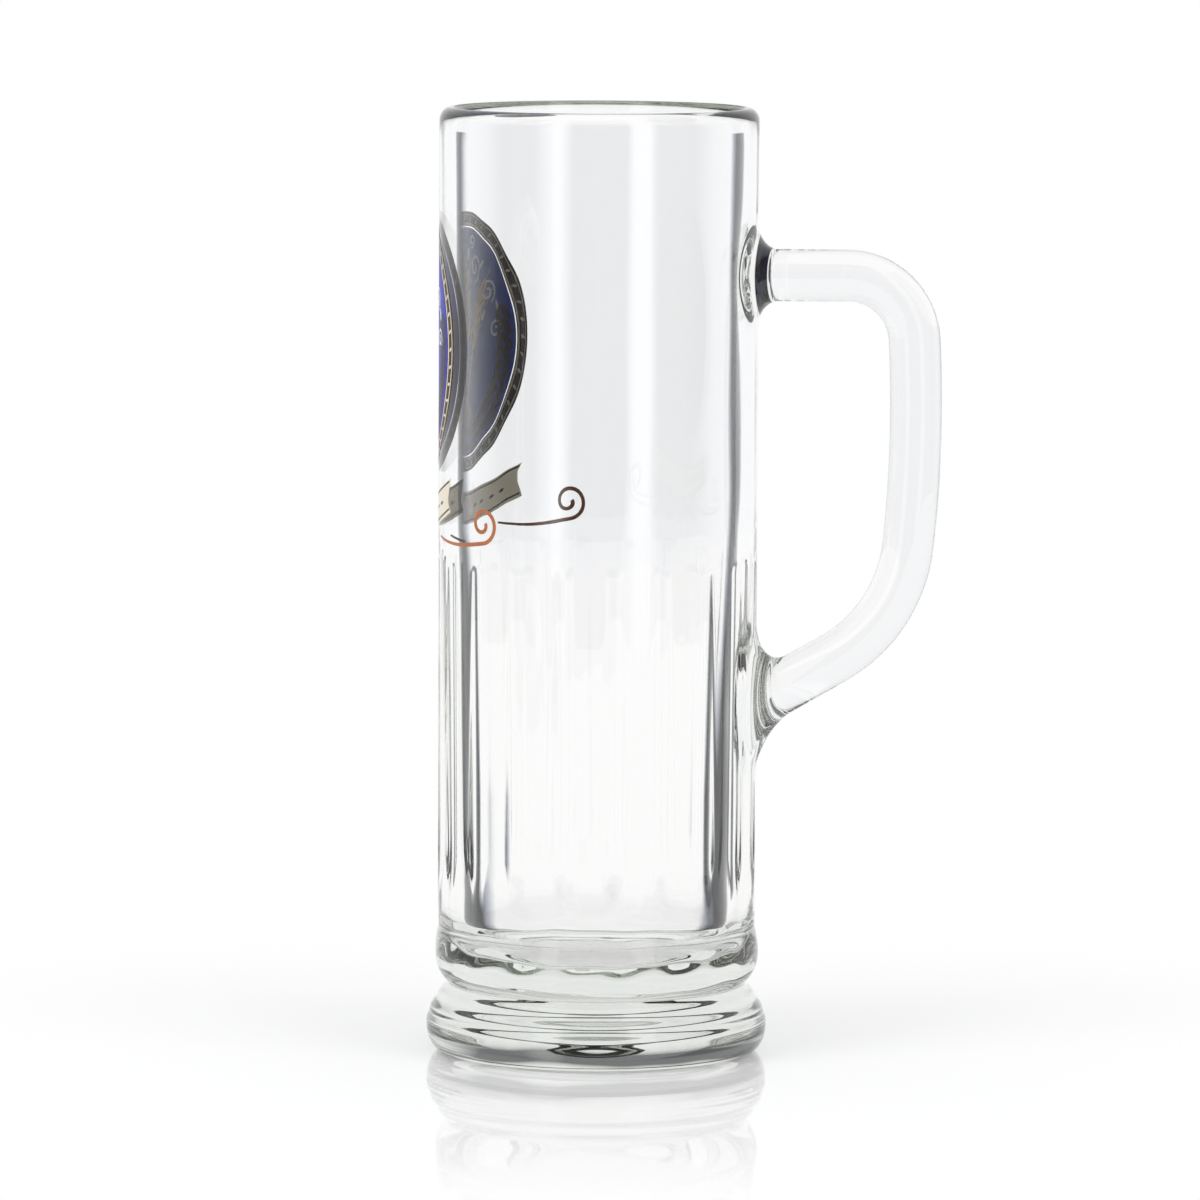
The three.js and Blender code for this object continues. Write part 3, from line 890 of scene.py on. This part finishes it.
def pen(count, width, taper=0.0):
    """Widths of a stroke that thins towards both ends"""
    shares = [math.sin(math.pi * k / (count - 1)) for k in range(count)]
    return [width * (1 - taper + taper * math.sqrt(max(share, 0.0))) for share in shares]


def leaf(u, v, heading, long, wide, count=9):
    """A pointed oval"""
    points = []
    for k in range(count):
        along = long * (k / (count - 1) - 0.5)
        points.append((u + along * math.cos(heading), v + along * math.sin(heading)))
    return stroke(points, pen(count, wide, 1.0))


def spiral(u, v, outer, inner, start, turns, count=40):
    """Middle line of a curl that winds from outer to inner radius"""
    points = []
    for k in range(count):
        share = k / (count - 1)
        radius = outer + (inner - outer) * share
        turn = start + turns * 2 * math.pi * share
        points.append((u + radius * math.cos(turn), v + radius * math.sin(turn)))
    return points


def straight(u, v, heading, start, end, count):
    """Points on a straight line from (u, v), between two distances along it"""
    reaches = [start + (end - start) * k / (count - 1) for k in range(count)]
    return [(u + math.cos(heading) * reach, v + math.sin(heading) * reach) for reach in reaches]


def bowed(start, bend, end, count):
    """Points on a curve that leans towards the bend"""
    shares = [k / (count - 1) for k in range(count)]
    return [
        tuple((1 - t) ** 2 * a + 2 * t * (1 - t) * b + t * t * c for a, b, c in zip(start, bend, end))
        for t in shares
    ]


def oval_ring(middle, half_width, half_height, width, count=120):
    """A closed band inside an oval"""
    rows = []
    for k in range(count + 1):
        turn = 2 * math.pi * (k % count) / count
        rows.append(
            [
                ((half_width - inset) * math.cos(turn), middle + (half_height - inset) * math.sin(turn))
                for inset in (0.0, width / 2, width)
            ]
        )
    return rows


def oval_disc(middle, half_width, half_height, rows_up=48, across=36):
    rows = []
    for k in range(rows_up + 1):
        turn = math.pi * (k / rows_up - 0.5)
        half = max(half_width * math.cos(turn), 0.02 * MM)
        height = middle + half_height * math.sin(turn)
        rows.append([(half * (2 * i / across - 1), height) for i in range(across + 1)])
    return rows


def film_piece(name, strips, level, material, node=None):
    """Lays flat strips round the barrel as a thin closed film on both sides of the glass surface"""
    scene = bpy.context.scene
    g, m = scene.mug_glass_sizes, scene.mug_print_sizes
    bm = bmesh.new()
    for rows in strips:
        row = [bm.verts.new((u, v, 0)) for u, v in rows[0]]
        verts = list(row)
        edges = [bm.edges.new(pair) for pair in zip(row, row[1:])]
        for places in rows[1:]:
            edges, row = extrude_row(bm, edges, row, [Vector((u, v, 0)) for u, v in places])
            verts += row
        bmesh.ops.remove_doubles(bm, verts=verts, dist=TINY)
    reach = m.film + m.layer * level
    for v in bm.verts:
        turn = m.turn + v.co.x / g.barrel_radius
        radius = g.barrel_radius + reach
        v.co = (radius * math.cos(turn), radius * math.sin(turn), v.co.y)
    bmesh.ops.recalc_face_normals(bm, faces=bm.faces[:])
    for face in bm.faces:
        if face.normal.xy.dot(face.calc_center_median().xy) < 0:
            face.normal_flip()
    bmesh.ops.solidify(bm, geom=bm.faces[:], thickness=2 * reach)
    bmesh.ops.recalc_face_normals(bm, faces=bm.faces[:])
    if any(len(e.link_faces) != 2 for e in bm.edges):
        raise RuntimeError(f"{name} isn't closed")
    piece = finish_piece(name, bm, material, smooth_faces=False)
    if node:
        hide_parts(node)
    return piece


def enamel_group():
    """Surface of fired enamel: mottled colour, another colour on the side seen through the glass"""
    group = bpy.data.node_groups.new("fired_enamel", "ShaderNodeTree")
    for name, in_out, kind in (
        ("Front", "INPUT", "Color"),
        ("Back", "INPUT", "Color"),
        ("Radius", "INPUT", "Float"),
        ("Color", "OUTPUT", "Color"),
        ("Roughness", "OUTPUT", "Float"),
        ("Height", "OUTPUT", "Float"),
    ):
        group.interface.new_socket(name=name, in_out=in_out, socket_type="NodeSocket" + kind)
    tree = Tree(group)
    given, made = tree.nodes.new("NodeGroupInput"), tree.nodes.new("NodeGroupOutput")
    place = tree.add("TexCoord").outputs["Object"]
    outside = tree.math("GREATER_THAN", tree.from_axis(place), given.outputs["Radius"])
    side = tree.mix(outside, given.outputs["Back"], given.outputs["Front"])
    grain = tree.noise(place, 2600.0, 2.0)
    both = tree.math("ADD", tree.noise(place, 260.0, 3.0), grain)
    shade = tree.remap(both, (0.6, 1.4), (0.72, 1.22))
    tinted = tree.add("VectorMath", {0: side, "Scale": shade}, operation="SCALE")
    tree.links.new(tinted.outputs["Vector"], made.inputs["Color"])
    tree.links.new(tree.remap(grain, (0.0, 1.0), (0.22, 0.46)), made.inputs["Roughness"])
    tree.links.new(both, made.inputs["Height"])
    return group


def enamel(name, front, back=None):
    """Material of one enamel colour"""
    group = bpy.data.node_groups.get("fired_enamel") or enamel_group()
    material, tree, shader = new_material(name)
    shader.inputs["Specular IOR Level"].default_value = 0.12
    surface = tree.add("Group", node_tree=group)
    surface.inputs["Front"].default_value = (*front, 1)
    surface.inputs["Back"].default_value = (*(back or [0.02 + 0.62 * part for part in front]), 1)
    surface.inputs["Radius"].default_value = bpy.context.scene.mug_glass_sizes.barrel_radius
    tree.links.new(surface.outputs["Color"], shader.inputs["Base Color"])
    tree.links.new(surface.outputs["Roughness"], shader.inputs["Roughness"])
    inputs = {"Strength": 0.15, "Distance": 0.02 * MM, "Height": surface.outputs["Height"]}
    tree.links.new(tree.add("Bump", inputs).outputs["Normal"], shader.inputs["Normal"])
    return material


# Curls of the field, as (across, up, size, start in degrees, turns), and its leaves, as
# (across, up, heading in degrees), in millimetres from the oval's middle on its right half
CURLS = (
    (6.2, 17.0, 3.4, -90, 1.4),
    (13.0, 11.0, 3.0, -60, 1.5),
    (16.2, 2.0, 2.4, -40, 1.4),
    (4.4, 23.2, 1.5, -120, 1.2),
)
CURL_RISE_SHARE = 0.96
CURL_LEAVES = ((10.2, 16.6, 40), (16.8, 7.2, 110), (2.2, 19.4, 80), (11.4, 5.4, 60))
BEADS = 44
SHEAF_HEIGHT_SHARE = 1.17
SIDE_STALK_SHARE = 0.83
STALK_POINTS = 25


def all_sizes(context):
    scene = context.scene
    return scene.mug_glass_sizes, scene.mug_print_sizes, scene.mug_colours


def mirrored(degrees, side):
    """A heading on the right half, or its mirror image on the left half"""
    return math.radians(degrees if side > 0 else 180 - degrees)


class MUG_OT_medallion(bpy.types.Operator):
    """Prints the oval border with its fine lines and the blue field with white curls"""

    bl_idname = "mug.medallion"
    bl_label = "Medallion"

    def execute(self, context):
        g, m, c = all_sizes(context)
        _, middle, half_height = print_frame(g, m)
        border = oval_ring(middle, m.half_width, half_height, m.border)
        brown = enamel("enamel_brown", c.brown)
        film_piece("print_border_film", [border], 0, brown, "print_border")
        inner = m.border + 0.3 * MM
        field = oval_disc(middle, m.half_width - inner, half_height - inner)
        blue = enamel("enamel_blue", c.blue, c.blue_back)
        film_piece("print_field_film", [field], 0, blue, "print_field")
        cream = enamel("enamel_cream", c.cream)
        lines = []
        for inset, width in ((0.5 * MM, 0.35 * MM), (m.border - 0.7 * MM, 0.5 * MM)):
            lines.append(oval_ring(middle, m.half_width - inset, half_height - inset, width))
        for k in range(BEADS):
            turn = 2 * math.pi * k / BEADS
            room = m.border / 2
            u = (m.half_width - room) * math.cos(turn)
            v = middle + (half_height - room) * math.sin(turn)
            lines.append(leaf(u, v, turn + math.radians(35), 1.5 * MM, 0.7 * MM, 7))
        film_piece("print_border_lines", lines, 1, cream)
        white = enamel("enamel_white", c.white)
        curls = []
        for side in (-1, 1):
            for u, v, size, start, turns in CURLS:
                u, v = side * u * MM, middle + v * MM * CURL_RISE_SHARE
                line = spiral(u, v, size * MM, 0.5 * MM, mirrored(start, side), side * turns)
                curls.append(stroke(line, pen(len(line), 0.62 * MM, 0.5)))
            for u, v, heading in CURL_LEAVES:
                u, v = side * u * MM, middle + v * MM
                curls.append(leaf(u, v, mirrored(heading, side), 3.0 * MM, 1.0 * MM))
        film_piece("print_field_curls", curls, 1, white)
        return {"FINISHED"}


class MUG_OT_sheaf(bpy.types.Operator):
    """Prints the barley sheaf with its red tie, and the brown leaves below it"""

    bl_idname = "mug.sheaf"
    bl_label = "Barley Sheaf"

    def execute(self, context):
        g, m, c = all_sizes(context)
        _, middle, half_height = print_frame(g, m)
        tall = half_height * SHEAF_HEIGHT_SHARE
        foot = middle - tall / 2
        gold, shade = [], []
        for i in (-1, 0, 1):
            reach = tall * (1 if i == 0 else SIDE_STALK_SHARE)
            bend = (i * m.sheaf_spread * 0.33, foot + tall / 2)
            line = bowed((0, foot), bend, (i * m.sheaf_spread, foot + reach), STALK_POINTS)
            gold.append(stroke(line, pen(STALK_POINTS, m.stalk, 0.3)))
            for k in range(5):
                last = STALK_POINTS - 1 - int(k * 2.6)
                at, past = line[last], line[last - 1]
                heading = math.atan2(at[1] - past[1], at[0] - past[0])
                for side in (0,) if k == 0 else (-1, 1):
                    lean = heading + side * math.radians(28)
                    u = at[0] - side * math.sin(lean) * m.grain_breadth * 0.5
                    v = at[1] + side * math.cos(lean) * m.grain_breadth * 0.5
                    gold.append(leaf(u, v, lean, m.grain_length, m.grain_breadth * 0.86, 13))
                    shade.append(leaf(u, v, lean, m.grain_length * 0.62, 0.35 * MM, 7))
                    awn = straight(u, v, lean, m.grain_length * 0.4, m.grain_length, 5)
                    gold.append(stroke(awn, pen(5, 0.28 * MM)))
        for k in range(7):
            lean = math.radians(-90 + (k - 3) * 13)
            straw = straight(0.0, foot + 5 * MM, lean, 0.0, 7 * MM, 6)
            gold.append(stroke(straw, pen(6, 0.6 * MM, 0.3)))
        film_piece("print_sheaf_film", gold, 1, enamel("enamel_gold", c.gold), "print_sheaf")
        brown = enamel("enamel_dark", c.brown)
        film_piece("print_sheaf_shade", shade, 2, brown)
        tie = []
        for k in range(2):
            v = foot + (5.4 + 1.1 * k) * MM
            band = [(u * MM, v + 0.18 * MM * (u * u) / 4) for u in (-2.3, -1.15, 0, 1.15, 2.3)]
            tie.append(stroke(band, pen(5, 0.75 * MM)))
        film_piece("print_tie", tie, 2, enamel("enamel_red", c.red))
        leaves = []
        for side in (-1, 1):
            for k in range(13):
                turn = math.radians(-84 + k * 8.2)
                for ring, tilt in ((2.6, 24), (5.2, -26)):
                    room = m.border + ring * MM
                    u = side * (m.half_width - room) * math.cos(turn)
                    v = middle + (half_height - room) * math.sin(turn)
                    heading = turn + math.pi / 2 + math.radians(tilt)
                    heading = heading if side > 0 else math.pi - heading
                    leaves.append(leaf(u, v, heading, 4.6 * MM, 1.9 * MM))
        film_piece("print_leaves", leaves, 1, brown)
        return {"FINISHED"}


class MUG_OT_ribbon(bpy.types.Operator):
    """Prints the sagging ribbon with its dark outline and the two scrolls that end in curls"""

    bl_idname = "mug.ribbon"
    bl_label = "Ribbon and Scrolls"

    def execute(self, context):
        g, m, c = all_sizes(context)
        base = print_frame(g, m)[0]

        def rise(u):
            return base + m.ribbon_rise + m.ribbon_sag * (u / m.ribbon_half_width) ** 2

        rows, edges = [], ([], [])
        count = 40
        for k in range(count + 1):
            u = m.ribbon_half_width * (2 * k / count - 1)
            low = rise(u)
            notch = m.ribbon_breadth * 0.33 if k in (0, count) else 0.0
            inner = u + (notch if u < 0 else -notch)
            high = low + m.ribbon_breadth
            rows.append([(u, low), (inner, low + m.ribbon_breadth / 2), (u, high)])
            for edge, lift in zip(edges, (0.7 * MM, m.ribbon_breadth - 0.7 * MM)):
                edge.append((u * 0.97, low + lift))
        cream = bpy.data.materials["enamel_cream"]
        film_piece("print_ribbon_film", [rows], 0, cream, "print_ribbon")
        detail = [stroke(edge, pen(count + 1, 0.4 * MM)) for edge in edges]
        for side in (-1, 1):
            for k in range(4):
                u = side * (6.0 + 4.2 * k) * MM
                detail.append(leaf(u, rise(u) + m.ribbon_breadth / 2, side * 0.35, 2.2 * MM, 0.7 * MM))
        film_piece("print_ribbon_lines", detail, 1, bpy.data.materials["enamel_dark"])
        copper = enamel("enamel_copper", c.copper)
        start = m.ribbon_half_width - m.ribbon_breadth
        hub = m.ribbon_half_width + m.scroll_reach
        level = base + m.ribbon_rise - m.scroll_line
        line = []
        for k in range(24):
            run = k / 24
            sag = m.scroll_line * math.sin(run * math.pi)
            line.append((start + (hub - start) * run, level - sag))
        curl = spiral(0, level + m.scroll_curl, m.scroll_curl, m.scroll_line, -math.pi / 2, 1.3, 56)
        line += [(hub + u, v) for u, v in curl]
        widths = [m.scroll_line * (0.55 + 0.45 * min(k / 20, 1.0)) for k in range(len(line))]
        for name, side in (("near", 1), ("far", -1)):
            strip = stroke([(side * u, v) for u, v in line], widths)
            node = f"print_scroll_{name}"
            film_piece(f"{node}_film", [strip], 0, copper, node)
        return {"FINISHED"}


class MUG_OT_studio(bpy.types.Operator):
    """Makes the floor, the paper tent, the lamps and the camera"""

    bl_idname = "mug.studio"
    bl_label = "Studio"

    def execute(self, context):
        s = context.scene.mug_studio
        scene = context.scene
        scene.view_settings.view_transform = "Standard"
        scene.cycles.max_bounces = 40
        scene.cycles.transmission_bounces = 40
        scene.cycles.glossy_bounces = 12
        scene.cycles.transparent_max_bounces = 12
        make_world(scene)
        make_floor(s)
        make_tent(s)
        make_lamps()
        make_camera(scene, s)
        return {"FINISHED"}


# Level of the world and of the far floor for rays that light the mug
PLAIN_LEVEL = 0.7


def seen_white(tree):
    """Strength of 1 for camera, glossy and transmission rays, and the plain level for others"""
    path = tree.add("LightPath")
    seen = path.outputs["Is Camera Ray"]
    for name in ("Is Glossy Ray", "Is Transmission Ray"):
        seen = tree.math("MAXIMUM", seen, path.outputs[name])
    return tree.math("MULTIPLY_ADD", seen, 1.0 - PLAIN_LEVEL, PLAIN_LEVEL)


def make_world(scene):
    world = bpy.data.worlds.new("pale_studio")
    scene.world = world
    world.use_nodes = True
    tree = Tree(world.node_tree)
    background = tree.nodes["Background"]
    background.inputs["Color"].default_value = (1, 1, 1, 1)
    tree.links.new(seen_white(tree), background.inputs["Strength"])


def make_floor(s):
    bm = bmesh.new()
    bmesh.ops.create_grid(bm, x_segments=2, y_segments=2, size=s.floor_size / 2)
    material, tree, shader = new_material("floor_white")
    shader.inputs["Base Color"].default_value = (0.66, 0.66, 0.665, 1)
    shader.inputs["Roughness"].default_value = 0.03
    shader.inputs["Emission Color"].default_value = (1, 1, 1, 1)
    shader.inputs["Emission Strength"].default_value = 0.16
    shader.inputs["Specular IOR Level"].default_value = 0.5
    place = tree.add("TexCoord").outputs["Object"]
    span = tree.add("VectorMath", {0: place}, operation="LENGTH").outputs["Value"]
    inputs = {"Value": span, "From Min": s.clear_radius, "From Max": s.melt_radius}
    melt = tree.add("MapRange", inputs, interpolation_type="SMOOTHSTEP").outputs["Result"]
    glow = tree.add("Emission", {"Strength": seen_white(tree)}).outputs["Emission"]
    through = tree.add("LightPath").outputs["Is Transmission Ray"]
    share = tree.math("MAXIMUM", tree.math("MULTIPLY", through, 0.6), melt)
    mix = tree.add("MixShader", {"Fac": share, 1: shader.outputs["BSDF"], 2: glow})
    tree.links.new(mix.outputs["Shader"], tree.nodes["Material Output"].inputs["Surface"])
    new_object("floor", bm, material)


VIEW_TURN = math.radians(-87)

# What stands round the mug, as (degrees from the view's far side towards the right, level)
SURROUNDINGS = (
    (-180, 0.05),
    (-157, 0.06),
    (-152, 1.2),
    (-138, 1.2),
    (-133, 0.12),
    (-95, 0.12),
    (-78, 1.0),
    (78, 1.0),
    (95, 0.12),
    (136, 0.12),
    (141, 1.2),
    (154, 1.2),
    (159, 0.06),
    (180, 0.05),
)
# How far the tent reaches round to each side, which leaves a slit behind the camera
TENT_HALF_TURN = math.radians(179.9)
TENT_STEPS = 90


def make_tent(s):
    """A wide ring of paper round the mug, dark towards the camera but for two soft boxes"""
    bm = bmesh.new()
    first = VIEW_TURN + math.pi - TENT_HALF_TURN
    turns = [first + 2 * TENT_HALF_TURN * k / TENT_STEPS for k in range(TENT_STEPS + 1)]
    row = [bm.verts.new((s.tent_radius * math.cos(t), s.tent_radius * math.sin(t), 0.0)) for t in turns]
    edges = [bm.edges.new(pair) for pair in zip(row, row[1:])]
    extrude_row(bm, edges, row, [Vector((v.co.x, v.co.y, s.tent_height)) for v in row])
    material, tree, _ = new_material("tent_paper")
    place = tree.add("TexCoord").outputs["Object"]
    inputs = {"Vector": place, "Angle": -(VIEW_TURN + math.pi)}
    turned = tree.add("VectorRotate", inputs, rotation_type="Z_AXIS").outputs["Vector"]
    parts = tree.add("SeparateXYZ", {"Vector": turned})
    around = tree.math("ARCTAN2", parts.outputs["Y"], parts.outputs["X"])
    share = tree.remap(around, (math.pi, -math.pi), (0.0, 1.0))
    stops = [(t / 360 + 0.5, (level * 0.98, level * 0.985, level, 1)) for t, level in SURROUNDINGS]
    glow = tree.add("Emission", {"Color": tree.ramp(share, stops)}).outputs["Emission"]
    tree.links.new(glow, tree.nodes["Material Output"].inputs["Surface"])
    paper = new_object("tent", bm, material)
    paper.visible_camera = False
    paper.visible_diffuse = False
    paper.visible_shadow = False


# Lamps, as (name, direction and rise in degrees, power)
LAMPS = (("lamp_left", -135, 40, 14.0), ("lamp_right", -40, 45, 10.0))
LAMP_DISTANCE = 1.8
LAMP_AIM = Vector((0, 0, 0.1))


def make_lamps():
    for name, turn, rise, power in LAMPS:
        lamp = bpy.data.lights.new(name, "AREA")
        lamp.shape = "RECTANGLE"
        lamp.size, lamp.size_y = 0.9, 1.2
        lamp.energy = power
        spot = bpy.data.objects.new(name, lamp)
        bpy.context.scene.collection.objects.link(spot)
        a, e = math.radians(turn), math.radians(rise)
        back = Vector((math.cos(a) * math.cos(e), math.sin(a) * math.cos(e), math.sin(e)))
        spot.location = back * LAMP_DISTANCE + LAMP_AIM
        spot.rotation_euler = back.to_track_quat("Z", "Y").to_euler()
        spot.visible_glossy = False
        spot.visible_transmission = False


CAMERA_PLACE = Vector((0.0994, -1.8964, 0.297))
CAMERA_TARGET = Vector((0.0005, 0.0, 0.1012))
CAMERA_ROLL = math.radians(0.23)


def make_camera(scene, s):
    data = bpy.data.cameras.new("camera")
    data.lens = s.focal_length
    data.sensor_width = 36
    data.clip_start, data.clip_end = 0.1, 100
    camera = bpy.data.objects.new("camera", data)
    scene.collection.objects.link(camera)
    aim = (CAMERA_PLACE - CAMERA_TARGET).to_track_quat("Z", "Y").to_matrix()
    camera.location = CAMERA_PLACE
    camera.rotation_euler = (aim @ Matrix.Rotation(CAMERA_ROLL, 3, "Z")).to_euler()
    scene.camera = camera


class MUG_PT_sidebar(bpy.types.Panel):
    """Lists the steps that make the mug"""

    bl_label = "Beer Mug"
    bl_space_type = "VIEW_3D"
    bl_region_type = "UI"
    bl_category = "Beer Mug"

    def draw(self, context):
        for step in STEPS:
            self.layout.operator(step.bl_idname)


STEPS = (MUG_OT_studio, MUG_OT_glass, MUG_OT_medallion, MUG_OT_sheaf, MUG_OT_ribbon)
SETTINGS = (
    ("mug_glass_sizes", MugGlassSizes),
    ("mug_print_sizes", MugPrintSizes),
    ("mug_colours", MugColours),
    ("mug_studio", MugStudio),
)


def register():
    for name, group in SETTINGS:
        bpy.utils.register_class(group)
        setattr(bpy.types.Scene, name, bpy.props.PointerProperty(type=group))
    for cls in (*STEPS, MUG_PT_sidebar):
        bpy.utils.register_class(cls)


def unregister():
    for cls in (MUG_PT_sidebar, *reversed(STEPS)):
        bpy.utils.unregister_class(cls)
    for name, group in reversed(SETTINGS):
        delattr(bpy.types.Scene, name)
        bpy.utils.unregister_class(group)


def main():
    register()
    bpy.ops.mug.studio()
    bpy.ops.mug.glass()
    bpy.ops.mug.medallion()
    bpy.ops.mug.sheaf()
    bpy.ops.mug.ribbon()


if __name__ == "__main__":
    main()
